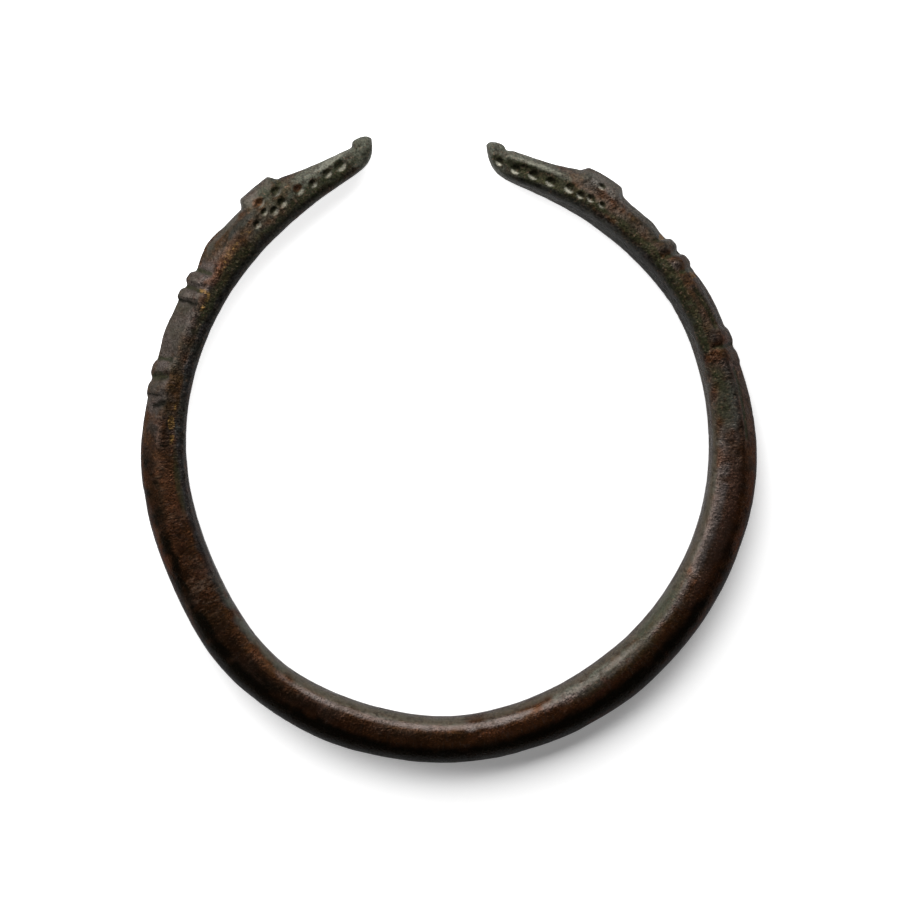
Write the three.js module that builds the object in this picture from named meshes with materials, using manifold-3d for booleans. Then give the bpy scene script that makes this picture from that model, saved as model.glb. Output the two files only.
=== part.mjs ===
// A cast bronze bracelet, open at the front, whose two ends are the heads of a long-snouted beast.
// It lies flat: the ring is in the XY plane, the mouth opens towards +Y and the underside is at Z = 0.
// Lengths are in millimetres. Angles are in degrees round the ring from the middle of the mouth,
// over the left arm (-X) first, and "along" is the distance from the tip of an arm.

import * as THREE from 'three';
import { mergeVertices } from 'three/addons/utils/BufferGeometryUtils.js';
import Module from 'manifold-3d';

// The hoop
const INNER_RADIUS = 30.95;
const BAR_THICKNESS = 5.5;
const BAR_HEIGHT = 5.6;
const FLAT_DEPTH = 0.16;

// Where the hoop has been bent out of the round, by so much and over so many degrees
const BENDS = [
  { at: 157, by: -0.87, over: 98 },
  { at: 113, by: -0.22, over: 17 },
  { at: 139, by: 1.27, over: 20 },
  { at: 175, by: 1.13, over: 25 },
  { at: 299, by: 0.34, over: 13 },
];

// The carving of the heads and collars
const RIB_SPREAD = 0.3;
const PLATE_FRONT = 0.7;
const PLATE_REAR = 0.35;
const PLATE_EDGE = 6;
const SIDE_SHARE = 0.6;
const DOT_DEPTH = 0.38;
const LARGE_DOT = 1;
const KNOB_LENGTH = 1.1;

// How far the outside of each arm falls short of the bar's thickness, by distance along it.
// The flare carries the tip outwards. The forehead plate covers the outside of the section, over its
// spread to each side in degrees. Dots are given as along, height over the inside, and width.
const LEFT = {
  side: 1,
  tip: 9.13,
  flare: { by: 4.01, over: 19 },
  chinReach: 0.95,
  shortfall: [
    [0, 3.05], [0.15, 2.67], [0.5, 2.38], [1.1, 2.2], [1.6, 2.06], [2, 2.2], [2.5, 2.7],
    [4, 2.46], [6, 2.2], [8, 1.64], [9.5, 1.16], [11.2, 0.6], [13.5, 0.48], [16, 0.33],
    [18, 0.26], [21, 0], [22.5, 0.28], [24, 0.66], [28.5, 0.71], [31, 0.62], [33.5, 0.88],
    [36, 0.8], [38.5, 0.65], [41, 0.43], [45, 0.13], [55, -0.04], [65, -0.08], [71, 0.12],
    [81, -0.13], [88, 0.02],
  ],
  plate: { from: 11.2, to: 15.85, height: 1.02, spread: 41 },
  ribs: [
    { at: 24.9, half: 0.85, height: 0.46 },
    { at: 26.85, half: 0.8, height: 0.38 },
    { at: 34.95, half: 1, height: 0.3 },
    { at: 37.1, half: 0.9, height: 0.24 },
  ],
  dots: [
    [4.7, 1.7, 1.4], [6.4, 1.8, 1.1], [8.4, 1.75, 1], [10.1, 2.15, 1.2], [12.5, 2.25, 1.1],
    [13.7, 2.15, 1], [14.6, 2.85, 0.8], [16.1, 2.4, 0.9], [12.2, 3.75, 1.2], [14.3, 4, 1.1],
  ],
  roll: [[0, 4], [12, 7], [18, 9], [40, 9], [58, 2], [80, -2], [96, -3]],
};
const RIGHT = {
  side: -1,
  tip: 9.85,
  flare: { by: 1.45, over: 16.3 },
  chinReach: 1.2,
  shortfall: [
    [0, 2.2], [0.15, 1.82], [0.45, 1.61], [0.95, 1.49], [1.35, 1.4], [1.7, 1.44], [2.05, 1.7],
    [2.35, 2], [3.2, 1.83], [5, 1.8], [7, 1.66], [9, 1.27], [10.6, 0.8], [13, 0.76],
    [15.5, 0.67], [17, 0.9], [19.5, 0.9], [21.5, 1.2], [24, 1.2], [27, 1.12], [29.5, 1.01],
    [32, 1.07], [34.5, 0.9], [37, 0.65], [38.5, 0.5], [42, 0.17], [45, -0.03], [50, -0.16],
    [56, -0.1], [66, -0.18], [73, -0.32], [80, -0.27], [86, -0.06], [92, 0.02],
  ],
  plate: { from: 10.6, to: 15.4, height: 0.86, spread: 54 },
  ribs: [
    { at: 22.8, half: 0.85, height: 0.46 },
    { at: 24.95, half: 0.85, height: 0.36 },
    { at: 33.6, half: 1.1, height: 0.28 },
    { at: 35.9, half: 0.9, height: 0.16 },
  ],
  dots: [
    [1.95, 1.85, 1], [4, 1.6, 1.2], [6.1, 1.75, 1.2], [8.2, 1.8, 1.2], [10.4, 2.1, 1.2],
    [11.8, 2, 0.9], [13, 2.3, 0.9], [14.4, 2.4, 0.8], [13.3, 4.2, 0.8],
  ],
  roll: [[0, -7], [8, -10], [14, -15], [30, -15], [37, -8], [60, -4], [80, -5], [96, -3]],
};

// The section along each arm: how far it falls short of the bar's height, how far its underside stands
// off what the bracelet lies on, where the slanted face of the back lies as a share of the half section,
// how that face leans, and how crisp the edges are.
const SECTIONS = {
  lower: [[0, 2.6], [2, 2.3], [6, 1.6], [11, 0.9], [16, 0.75], [22, 0.8], [40, 0.8], [55, 0.2], [70, 0]],
  lift: [[0, 0.75], [4, 0.5], [12, 0.15], [20, 0]],
  slant: [[0, 1], [3, 1], [10, 0.96], [18, 0.85], [38, 0.83], [52, 0.97], [70, 1]],
  lean: [[0, 42], [10, 42], [18, 39], [38, 39], [52, 45], [70, 45]],
  crisp: [[0, 4], [3, 9], [10, 13], [40, 13], [55, 7], [70, 6]],
};
const INNER_CORNER = 1.22;
const POINTS_ROUND = 20;
const TIP_STATIONS = [0, 0.06, 0.18, 0.4, 0.7, 1.1, 1.5, 1.8, 2.05, 2.3, 2.6];
const ARM_STEP = 1.1;
const HOOP_STEP = 3.1;
const ARM_LENGTH = 44;

const RAD = Math.PI / 180;
const bronze = new THREE.MeshStandardMaterial({ color: 0x3d2b22, roughness: 0.42, metalness: 0.75 });

// A smooth curve through [x, y] points that never overshoots them, level beyond its ends.
function through(points, x) {
  const last = points.length - 1;
  if (x <= points[0][0]) return points[0][1];
  if (x >= points[last][0]) return points[last][1];
  let i = 0;
  while (x > points[i + 1][0]) i += 1;
  const slope = (k) => (points[k + 1][1] - points[k][1]) / (points[k + 1][0] - points[k][0]);
  const tangent = (k) => {
    if (k === 0 || k === last) return 0;
    const before = slope(k - 1);
    const after = slope(k);
    return before * after <= 0 ? 0 : (2 * before * after) / (before + after);
  };
  const width = points[i + 1][0] - points[i][0];
  const t = (x - points[i][0]) / width;
  const rise = points[i + 1][1] - points[i][1];
  const blend = t * t * (3 - 2 * t);
  const start = tangent(i) * width * t * (1 - t) * (1 - t);
  const end = tangent(i + 1) * width * t * t * (1 - t);
  return points[i][1] + rise * blend + start - end;
}

// Rises smoothly from 0 to 1 as x goes from low to high.
function ramp(x, low, high) {
  const t = Math.min(1, Math.max(0, (x - low) / (high - low)));
  return t * t * (3 - 2 * t);
}

// A rounded bump of height 1, nought beyond half a width from its middle.
function swell(offset, half) {
  const t = Math.min(1, Math.abs(offset) / half);
  return (1 - t ** 4) ** 2;
}

// The inside of the hoop as a point at an angle round the ring.
function innerPoint(angle) {
  let radius = INNER_RADIUS;
  for (const bend of BENDS) radius += bend.by * Math.exp(-(((angle - bend.at) / bend.over) ** 2));
  for (const arm of [LEFT, RIGHT]) {
    const past = (arm.side > 0 ? angle : 360 - angle) - arm.tip;
    radius += arm.flare.by * Math.exp(-past / arm.flare.over);
  }
  const turn = (90 + angle) * RAD;
  return new THREE.Vector2(radius * Math.cos(turn), radius * Math.sin(turn));
}

// The inside of one arm, from its tip to the back of the hoop, measured along.
function innerLine(arm) {
  const points = [];
  let along = 0;
  for (let k = 0; k <= 1800; k += 1) {
    const angle = arm.tip + ((180 - arm.tip) * k) / 1800;
    const point = innerPoint(arm.side > 0 ? angle : 360 - angle);
    if (k > 0) along += point.distanceTo(points[k - 1].point);
    points.push({ point, along });
  }
  return points;
}

function lineAt(line, along) {
  let low = 0;
  let high = line.length - 1;
  while (high - low > 1) {
    const middle = (low + high) >> 1;
    if (line[middle].along <= along) low = middle;
    else high = middle;
  }
  const share = (along - line[low].along) / (line[high].along - line[low].along);
  const point = line[low].point.clone().lerp(line[high].point, share);
  const ahead = line[high].point.clone().sub(line[low].point).normalize();
  const outwards = new THREE.Vector2(-ahead.y, ahead.x);
  if (outwards.dot(point) < 0) outwards.negate();
  return { point, outwards };
}

// What the forehead plate and the ribs add to the outside, in the direction given round the section.
function relief(arm, along, direction) {
  const facing = Math.cos(direction);
  const { from, to, height, spread } = arm.plate;
  const plate = ramp(along, from, from + PLATE_FRONT) * ramp(-along, -to, PLATE_REAR - to);
  const edges = [spread + PLATE_EDGE, spread - PLATE_EDGE].map((angle) => Math.cos(angle * RAD));
  let added = height * plate * ramp(facing, ...edges);
  for (const rib of arm.ribs) {
    added += rib.height * swell(along - rib.at, rib.half) * ramp(facing, -0.1, RIB_SPREAD);
  }
  return added;
}

// Half the height of the section, rounded off at the knob, and the level of its middle.
function level(along) {
  const full = (BAR_HEIGHT - through(SECTIONS.lower, along)) / 2;
  const short = 1 - Math.min(1, along / KNOB_LENGTH);
  const half = full * Math.sqrt(Math.max(0.02, 1 - short * short));
  return { half, middle: full - BAR_HEIGHT / 2 + through(SECTIONS.lift, along) };
}

// The section's outline as [outwards, up] pairs: flat faces that meet in softened edges.
function section(arm, along) {
  const outside = BAR_THICKNESS - through(arm.shortfall, along);
  const chin = 0.96 * (BAR_THICKNESS - through(arm.shortfall, 0)) * Math.exp(-along / arm.chinReach);
  const crisp = through(SECTIONS.crisp, along);
  const lean = through(SECTIONS.lean, along);
  const slant = through(SECTIONS.slant, along);
  const roll = through(arm.roll, along) * RAD;
  const faces = [
    [0, 1], [lean, slant], [-lean, slant], [88, 1], [-88, 1],
    [135, INNER_CORNER], [-135, INNER_CORNER], [180, 1],
  ];
  const { half, middle } = level(along);
  const wide = (outside - chin) / 2;
  const points = [];
  for (let k = 0; k < POINTS_ROUND; k += 1) {
    const direction = (2 * Math.PI * (k + 0.5)) / POINTS_ROUND;
    let sum = 0;
    for (const [facing, distance] of faces) {
      sum += Math.max(0, Math.cos(direction - facing * RAD) / distance) ** crisp;
    }
    const reach = sum ** (-1 / crisp);
    const u = reach * Math.cos(direction) * wide;
    const z = reach * Math.sin(direction) * half;
    points.push([u * Math.cos(roll) - z * Math.sin(roll), u * Math.sin(roll) + z * Math.cos(roll)]);
  }
  return fitted(points, [chin, middle - half], [outside, middle + half]);
}

// Points moved and stretched so that they fill the box between two corners.
function fitted(points, low, high) {
  const from = [0, 1].map((axis) => Math.min(...points.map((point) => point[axis])));
  const to = [0, 1].map((axis) => Math.max(...points.map((point) => point[axis])));
  return points.map((point) => point.map((value, axis) => {
    const share = (value - from[axis]) / (to[axis] - from[axis]);
    return low[axis] + share * (high[axis] - low[axis]);
  }));
}

// The section with the carving added and the underside kept flat.
function carved(arm, along) {
  const outline = section(arm, along);
  const centre = [0, 1].map((axis) => outline.reduce((sum, pair) => sum + pair[axis], 0) / outline.length);
  return outline.map(([u, z]) => {
    const direction = Math.atan2(z - centre[1], u - centre[0]);
    const added = relief(arm, along, direction);
    const up = z + added * Math.sin(direction) * SIDE_SHARE;
    return [u + added * Math.cos(direction), Math.max(up, FLAT_DEPTH - BAR_HEIGHT / 2)];
  });
}

// The same section as a ring of points in space.
function ring(arm, line, along) {
  const { point, outwards } = lineAt(line, along);
  return carved(arm, along).map(([u, z]) => new THREE.Vector3(
    point.x + outwards.x * u,
    point.y + outwards.y * u,
    z,
  ));
}

// Where the rings stand: on every edge of the carving, and evenly between with a wider step.
function stations(arm, length) {
  const { from, to } = arm.plate;
  const edges = [...TIP_STATIONS, from, from + PLATE_FRONT / 2, from + PLATE_FRONT];
  edges.push(to - PLATE_REAR, to - PLATE_REAR / 2, to, ARM_LENGTH);
  for (const { at, half } of arm.ribs) {
    for (const share of [-1, -0.7, -0.4, 0, 0.4, 0.7, 1]) edges.push(at + share * half);
  }
  edges.sort((a, b) => a - b);
  edges.push(length - HOOP_STEP / 2);
  const list = [edges[0]];
  for (const edge of edges.slice(1)) {
    const from = list.at(-1);
    const gap = edge - from;
    const count = Math.ceil(gap / (from < ARM_LENGTH ? ARM_STEP : HOOP_STEP));
    for (let k = 1; k <= count; k += 1) list.push(from + (gap * k) / count);
  }
  return list.filter((along, k) => k === 0 || along - list[k - 1] > 0.02);
}

function closedMesh(rings) {
  const points = rings.flat();
  const faces = [];
  const corner = (r, k) => r * POINTS_ROUND + (k % POINTS_ROUND);
  for (let r = 0; r + 1 < rings.length; r += 1) {
    for (let k = 0; k < POINTS_ROUND; k += 1) {
      const [a, b, c, d] = [corner(r, k), corner(r, k + 1), corner(r + 1, k + 1), corner(r + 1, k)];
      faces.push(a, c, b, a, d, c);
    }
  }
  for (const end of [0, rings.length - 1]) {
    const middle = points.length;
    points.push(rings[end].reduce((sum, p) => sum.add(p), new THREE.Vector3()).divideScalar(POINTS_ROUND));
    for (let k = 0; k < POINTS_ROUND; k += 1) {
      const pair = [corner(end, k), corner(end, k + 1)];
      if (end > 0) pair.reverse();
      faces.push(middle, ...pair);
    }
  }
  const geometry = new THREE.BufferGeometry().setFromPoints(points);
  geometry.setIndex(faces);
  return geometry;
}

// The middle of the ball that punches a dot into the upper or lower flank of a head.
function dotCentre(arm, line, [along, height, width], flank) {
  const { middle } = level(along);
  const face = carved(arm, along).map(([u, z]) => [u, (z - middle) * flank]).filter((pair) => pair[1] > 0);
  face.sort((a, b) => a[0] - b[0]);
  const { point, outwards } = lineAt(line, along);
  const up = middle + flank * (through(face, height) + width / 2 - DOT_DEPTH);
  return new THREE.Vector3(point.x + outwards.x * height, point.y + outwards.y * height, up);
}

const wasm = await Module();
wasm.setup();

function asSolid(geometry) {
  const bare = geometry.clone();
  bare.deleteAttribute('normal');
  bare.deleteAttribute('uv');
  const merged = mergeVertices(bare, 1e-4);
  const vertProperties = new Float32Array(merged.attributes.position.array);
  const triVerts = new Uint32Array(merged.index.array);
  return new wasm.Manifold(new wasm.Mesh({ numProp: 3, vertProperties, triVerts }));
}

function asGeometry(solid) {
  const mesh = solid.getMesh();
  const geometry = new THREE.BufferGeometry();
  geometry.setAttribute('position', new THREE.BufferAttribute(mesh.vertProperties, 3));
  geometry.setIndex(new THREE.BufferAttribute(mesh.triVerts, 1));
  return geometry;
}

// The bar with its two heads, as one closed sweep round the ring.
function bar(lines) {
  const left = stations(LEFT, lines.get(LEFT).at(-1).along);
  const right = stations(RIGHT, lines.get(RIGHT).at(-1).along);
  const rings = left.map((along) => ring(LEFT, lines.get(LEFT), along));
  for (const along of right.reverse()) rings.push(ring(RIGHT, lines.get(RIGHT), along));
  return closedMesh(rings);
}

// Dots punched into both flanks of each head, only the larger ones on the flank below.
function punched(solid, lines) {
  let cut = solid;
  for (const arm of [LEFT, RIGHT]) {
    for (const dot of arm.dots) {
      for (const flank of dot[2] < LARGE_DOT ? [1] : [1, -1]) {
        const { x, y, z } = dotCentre(arm, lines.get(arm), dot, flank);
        const ball = new THREE.IcosahedronGeometry(dot[2] / 2, 1).translate(x, y, z);
        cut = cut.subtract(asSolid(ball));
      }
    }
  }
  return cut;
}

function bracelet() {
  const lines = new Map([LEFT, RIGHT].map((arm) => [arm, innerLine(arm)]));
  const geometry = asGeometry(punched(asSolid(bar(lines)), lines));
  geometry.computeBoundingBox();
  const { min, max } = geometry.boundingBox;
  geometry.translate(-(min.x + max.x) / 2, -(min.y + max.y) / 2, -min.z);
  geometry.computeVertexNormals();
  const mesh = new THREE.Mesh(geometry, bronze);
  mesh.name = 'bracelet';
  return mesh;
}

const object = new THREE.Group();
object.add(bracelet());

export default object;
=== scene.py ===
"""The bronze bracelet as it lies: its cast and carved surface, its patina, a pale floor and soft light.

The bar is worked out in millimetres. A place on it is given by the arm, the distance along it from its
tip, and the height over the inside of the hoop, as seen from above.
"""

import itertools

import bpy
import numpy as np
from bpy.props import FloatProperty, FloatVectorProperty, IntProperty, PointerProperty
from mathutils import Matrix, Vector


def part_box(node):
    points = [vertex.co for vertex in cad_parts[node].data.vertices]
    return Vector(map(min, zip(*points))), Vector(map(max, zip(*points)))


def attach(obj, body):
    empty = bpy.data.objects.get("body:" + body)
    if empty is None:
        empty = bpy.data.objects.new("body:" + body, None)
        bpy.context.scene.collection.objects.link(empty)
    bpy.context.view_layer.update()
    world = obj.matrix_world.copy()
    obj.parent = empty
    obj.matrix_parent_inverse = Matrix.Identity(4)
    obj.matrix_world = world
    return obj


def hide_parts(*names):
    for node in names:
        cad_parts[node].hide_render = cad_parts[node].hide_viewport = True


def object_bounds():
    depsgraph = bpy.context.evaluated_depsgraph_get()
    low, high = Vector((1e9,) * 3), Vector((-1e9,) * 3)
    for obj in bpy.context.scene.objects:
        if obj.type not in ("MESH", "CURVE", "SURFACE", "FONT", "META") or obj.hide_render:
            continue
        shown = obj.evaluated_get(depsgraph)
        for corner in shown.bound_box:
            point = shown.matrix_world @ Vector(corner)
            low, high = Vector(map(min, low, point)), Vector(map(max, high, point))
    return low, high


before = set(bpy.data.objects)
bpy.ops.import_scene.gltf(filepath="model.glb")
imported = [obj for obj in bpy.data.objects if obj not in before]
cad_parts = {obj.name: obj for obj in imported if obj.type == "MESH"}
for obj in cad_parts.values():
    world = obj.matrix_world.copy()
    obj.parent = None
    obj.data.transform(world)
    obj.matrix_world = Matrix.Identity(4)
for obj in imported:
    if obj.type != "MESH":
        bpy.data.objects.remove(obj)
CAD_LOW, CAD_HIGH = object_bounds()

bl_info = {
    "name": "Bronze bracelet",
    "version": (1, 0, 0),
    "blender": (4, 5, 0),
    "location": "3D View > Sidebar > Bracelet",
    "description": "A cast bronze bracelet with two beast heads, and the studio that it lies in",
    "category": "Object",
}

NODE = "bracelet"
MM = 0.001

# The hoop, as in the construction. A bend has its middle, depth and reach round the ring
INNER_RADIUS = 30.95
BAR_THICKNESS = 5.5
BAR_HEIGHT = 5.6
FLAT_DEPTH = 0.16
BENDS = [(157, -0.87, 98), (113, -0.22, 17), (139, 1.27, 20), (175, 1.13, 25), (299, 0.34, 13)]
KNOB_LENGTH = 1.1
INNER_CORNER = 1.22
CHIN_SHARE = 0.96
KNOB_NECK = 1.4
KNOB_END = 2.0
KNOB_PASSES = 16
SIDE_SHARE = 0.45
RIB_LEAN = 0.7
STEPS_INSIDE = 1801
STEPS_ROUND = 480

# The two arms. The tip is in degrees from the middle of the mouth, and the flare carries it outwards over
# a reach. The shortfall is how much thinner than the hoop the bar is, and inward moves its inside in. The
# plate has its ends, height, spread to each side in degrees and soft edge. A rib has its place, half width
# and height, and a dot its place, height over the inside and width. Punch scales the depth of the dots. The
# crust setting scales the pale cream on their walls that face the key light, partly crust and partly
# painted light. The roll turns the section, in degrees, and the slant sets how far out its slanted faces
# stand.
LEFT = {
    "side": 1,
    "tip": 9.13,
    "flare": (4.01, 19),
    "chin_reach": 0.95,
    "inward": [(0, 0.04), (3, 0.1), (46, 0.12), (56, 0)],
    "shortfall": [
        (0, 2.9), (0.15, 2.56), (0.5, 2.32), (1.1, 2.14), (1.6, 2.04), (2, 2.14), (2.5, 2.62),
        (4, 2.38), (6, 2.1), (8, 1.6), (9.5, 1.16), (11.2, 0.6), (13.5, 0.48), (16, 0.33),
        (18, 0.26), (21, 0), (22.5, 0.28), (24, 0.66), (28.5, 0.71), (31, 0.62), (33.5, 0.88),
        (36, 0.8), (38.5, 0.65), (41, 0.43), (45, 0.13), (55, -0.04), (65, -0.08), (71, 0.12),
        (81, -0.13), (88, 0.02),
    ],
    "plate": {"from": 11.22, "to": 16.1, "height": 0.94, "arch": 0.05, "spread": 46, "edge": 18},
    "ribs": [(24.9, 0.85, 0.46), (26.85, 0.8, 0.38), (34.95, 1, 0.3), (37.1, 0.9, 0.24)],
    "dots": [
        (4.7, 1.7, 1.4), (6.4, 1.8, 1.1), (8.4, 1.75, 1), (10.1, 2.15, 1.2), (12.5, 2.25, 1.1),
        (13.7, 2.15, 1), (14.6, 2.85, 0.8), (16.1, 2.4, 0.9), (12.2, 3.75, 1.2), (14.3, 4, 1.1),
    ],
    "punch": 0.85,
    "crust_and_light": 0.3,
    "roll": [(0, 4), (12, 7), (18, 9), (40, 9), (58, 2), (80, -2), (96, -3)],
    "slant": [
        (0, 1), (3, 1), (10, 0.98), (17, 1), (20, 0.85), (23, 0.68), (30, 0.68), (35, 0.76), (38, 0.83),
        (52, 0.97), (70, 1),
    ],
}
RIGHT = {
    "side": -1,
    "tip": 9.85,
    "flare": (1.45, 16.3),
    "chin_reach": 1.2,
    "inward": [(0, 0), (96, 0)],
    "shortfall": [
        (0, 2), (0.15, 1.68), (0.45, 1.5), (0.95, 1.4), (1.35, 1.36), (1.7, 1.4), (2.05, 1.62),
        (2.35, 1.92), (3.2, 1.78), (5, 1.76), (7, 1.66), (9, 1.27), (10.6, 0.8), (13, 0.76),
        (15.5, 0.67), (17, 0.9), (19.5, 0.9), (21.5, 1.2), (24, 1.2), (27, 1.12), (29.5, 1.01),
        (32, 1.07), (34.5, 0.9), (37, 0.65), (38.5, 0.5), (42, 0.17), (45, -0.03), (50, -0.16),
        (56, -0.1), (66, -0.18), (73, -0.32), (80, -0.27), (86, -0.06), (92, 0.02),
    ],
    "plate": {"from": 10.48, "to": 15.65, "height": 0.72, "arch": 0.2, "spread": 60, "edge": 14},
    "ribs": [(22.8, 0.85, 0.46), (24.95, 0.85, 0.36), (33.6, 1.1, 0.28), (35.9, 0.9, 0.16)],
    "dots": [
        (1.95, 1.85, 1), (4, 1.6, 1.2), (6.1, 1.75, 1.2), (8.2, 1.8, 1.2), (10.4, 2.1, 1.2),
        (11.8, 2, 0.9), (13, 2.3, 0.9), (14.4, 2.4, 0.8), (13.3, 4.2, 0.8),
    ],
    "punch": 0.88,
    "crust_and_light": 0.65,
    "roll": [(0, -7), (8, -10), (14, -15), (30, -15), (37, -8), (60, -4), (80, -5), (96, -3)],
    "slant": [(0, 1), (3, 1), (10, 0.96), (18, 0.85), (38, 0.83), (52, 0.97), (70, 1)],
}

# Along either arm: how much lower the bar is, how far its middle is lifted, how its slanted faces lean in
# degrees, and how crisp its edges are
LOWER = [(0, 2.6), (2, 2.3), (6, 1.6), (11, 0.9), (16, 0.75), (22, 0.8), (40, 0.8), (55, 0.2), (70, 0)]
LIFT = [(0, 0.75), (4, 0.5), (12, 0.15), (20, 0)]
LEAN = [(0, 42), (10, 42), (18, 39), (38, 39), (52, 45), (70, 45)]
CRISP = [(0, 3.5), (3, 8), (10, 14), (40, 14), (55, 7), (70, 5)]

# How far apart the rings of points stand, by distance from the tip
RING_STEP = [
    (0, 0.03), (0.4, 0.1), (2, 0.15), (18, 0.165), (40, 0.2), (52, 0.42), (59, 0.44), (59.8, 0.17),
    (61, 0.17), (62, 0.46), (96, 0.5),
]

# Numbers that scatter the noise's cells over its values
NOISE_VALUES = 4096
NOISE_PRIMES = (73856093, 19349663, 83492791)
NOISE_SHIFT = 13
NOISE_FACTOR = 60493


def through(points, x):
    """A smooth curve through (x, y) points that never overshoots them, level beyond its ends."""
    px, py = np.array(points, float).T
    width = np.diff(px)
    slope = np.diff(py) / width
    rising = slope[:-1] * slope[1:] > 0
    tangent = np.zeros(len(px))
    tangent[1:-1][rising] = (2 * slope[:-1] * slope[1:])[rising] / (slope[:-1] + slope[1:])[rising]
    i = np.clip(np.searchsorted(px, x, side="right") - 1, 0, len(px) - 2)
    t = np.clip((x - px[i]) / width[i], 0, 1)
    rise = (py[i + 1] - py[i]) * t * t * (3 - 2 * t)
    start = tangent[i] * width[i] * t * (1 - t) ** 2
    end = tangent[i + 1] * width[i] * t * t * (1 - t)
    return py[i] + rise + start - end


def ramp(x, low, high):
    """Rises smoothly from 0 to 1 as x goes from low to high."""
    t = np.clip((x - low) / (high - low), 0, 1)
    return t * t * (3 - 2 * t)


def swell(offset, half):
    """A rounded bump of height 1, nought beyond half a width from its middle."""
    t = np.minimum(1, np.abs(offset) / half)
    return (1 - t**4) ** 2


def noise(points, width, seed):
    """Smooth noise from -1 to 1 in space, with swellings about as wide as width."""
    values = np.random.default_rng(seed).uniform(-1, 1, NOISE_VALUES)
    cells = points / width
    low = np.floor(cells).astype(np.int64)
    part = cells - low
    part = part * part * (3 - 2 * part)
    total = np.zeros(points.shape[:-1])
    for corner in itertools.product((0, 1), repeat=3):
        key = ((low + corner) * NOISE_PRIMES).sum(-1)
        key = (key ^ (key >> NOISE_SHIFT)) * NOISE_FACTOR % NOISE_VALUES
        total += values[key] * np.where(corner, part, 1 - part).prod(-1)
    return total


def layered_noise(points, width, seed, layers=3):
    """Noise with finer noise on it, each layer half as wide and half as strong."""
    total = sum(noise(points, width / 2**k, seed + k) / 2**k for k in range(layers))
    return total / (2 - 2 ** (1 - layers))


def inner_line(arm):
    """The inside of one arm from its tip to the back: distance along, points and outward directions."""
    angle = np.linspace(arm["tip"], 180, STEPS_INSIDE)
    turned = angle if arm["side"] > 0 else 360 - angle
    radius = INNER_RADIUS
    for at, by, reach in BENDS:
        radius = radius + by * np.exp(-(((turned - at) / reach) ** 2))
    for other in (LEFT, RIGHT):
        by, reach = other["flare"]
        past = (turned if other["side"] > 0 else 360 - turned) - other["tip"]
        radius = radius + by * np.exp(-past / reach)
    turn = np.radians(90 + turned)
    points = np.stack([radius * np.cos(turn), radius * np.sin(turn)], -1)
    steps = np.linalg.norm(np.diff(points, axis=0), axis=1)
    ahead = np.gradient(points, axis=0)
    ahead /= np.linalg.norm(ahead, axis=1)[:, None]
    outwards = np.stack([ahead[:, 1], -ahead[:, 0]], -1) * arm["side"]
    return np.r_[0, np.cumsum(steps)], points, outwards


def ring_places(length):
    """Distances along an arm at which its rings stand."""
    places = [0.0]
    while places[-1] < length:
        places.append(places[-1] + float(through(RING_STEP, places[-1])))
    return np.array(places) * length / places[-1]


def facets(arm, along, direction):
    """The section of the bar before its carving, as (outwards, up) pairs: flat faces, softened edges."""
    outside = BAR_THICKNESS - through(arm["shortfall"], along)
    chin = CHIN_SHARE * (BAR_THICKNESS - arm["shortfall"][0][1]) * np.exp(-along / arm["chin_reach"])
    chin -= through(arm["inward"], along)
    lean, slant, crisp = (through(table, along)[:, None] for table in (LEAN, arm["slant"], CRISP))
    # Which way each flat face looks, and how far out it stands
    faces = [
        (0, 1), (lean, slant), (-lean, slant), (88, 1), (-88, 1), (135, INNER_CORNER),
        (-135, INNER_CORNER), (180, 1),
    ]
    reach = sum(
        np.maximum(0, np.cos(direction - np.radians(facing)) / distance) ** crisp
        for facing, distance in faces
    ) ** (-1 / crisp)
    full = (BAR_HEIGHT - through(LOWER, along)) / 2
    half = full * np.sqrt(np.maximum(0.02, 1 - (1 - np.minimum(1, along / KNOB_LENGTH)) ** 2))
    middle = full - BAR_HEIGHT / 2 + through(LIFT, along)
    roll = np.radians(through(arm["roll"], along))[:, None]
    u = reach * np.cos(direction) * ((outside - chin) / 2)[:, None]
    z = reach * np.sin(direction) * half[:, None]
    turned = np.stack([u * np.cos(roll) - z * np.sin(roll), u * np.sin(roll) + z * np.cos(roll)], -1)
    low = np.stack([chin, middle - half], -1)[:, None]
    high = np.stack([outside, middle + half], -1)[:, None]
    from_low, from_high = turned.min(1, keepdims=True), turned.max(1, keepdims=True)
    return low + (turned - from_low) / (from_high - from_low) * (high - low)


def relief(arm, along, direction):
    """What the forehead plate and the ribs add to the outside, in the direction round the section."""
    plate = arm["plate"]
    middle, half = (plate["from"] + plate["to"]) / 2, (plate["to"] - plate["from"]) / 2
    away = np.abs(np.degrees(direction))
    share = np.abs((along - middle) / half)
    arched = plate["height"] + plate["arch"] * np.maximum(0, 1 - share**2) ** 2
    across = ramp(plate["spread"] - away, -plate["edge"], plate["edge"])
    added = arched * ramp(1 - share, -0.06, 0.28) * across
    for at, half, height in arm["ribs"]:
        leaning = at - RIB_LEAN * np.minimum(1, away / 75) ** 2
        added = added + height * swell(along - leaning, half) * ramp(np.cos(direction), -0.3, 0.4)
    return added


def evened(outline, count):
    """A closed outline as count points an even distance apart."""
    closed = np.concatenate([outline, outline[:1]])
    along = np.r_[0, np.cumsum(np.linalg.norm(np.diff(closed, axis=0), axis=1))]
    wanted = np.linspace(0, along[-1], count, endpoint=False)
    return np.stack([np.interp(wanted, along, closed[:, axis]) for axis in (0, 1)], -1)


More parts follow.
